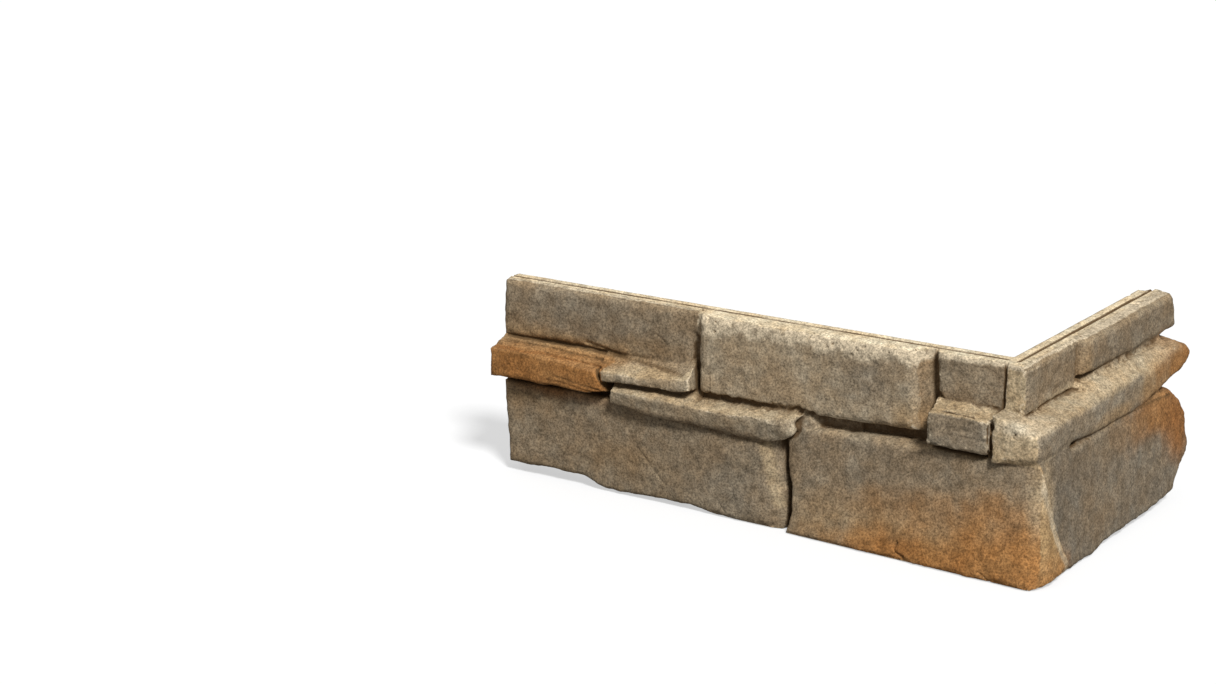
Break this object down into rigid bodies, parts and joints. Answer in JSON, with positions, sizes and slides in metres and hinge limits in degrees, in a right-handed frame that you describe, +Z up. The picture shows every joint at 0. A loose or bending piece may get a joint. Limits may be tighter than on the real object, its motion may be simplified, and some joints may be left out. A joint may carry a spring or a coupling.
{
  "type": "stone cladding corner slip",
  "caption": "L-shaped cast stone cladding slip with a face of stacked, uneven ledge stones on both legs and flat wall faces, bedded on an outside wall corner as a facing course.",
  "frame": {"origin": "foot of the inside corner, where the two flat wall faces and the underside meet", "axes": "+X along the long leg towards the corner, +Y back along the return leg into the wall, +Z up"},
  "size_m": [0.4651, 0.2705, 0.15],
  "materials": {
    "cast_stone": "matt cast concrete coloured grey-taupe, cream on worn edges and orange-brown in patches"
  },
  "bodies": {
    "root": {"corner_slip": "cast_stone"}
  },
  "joints": []
}
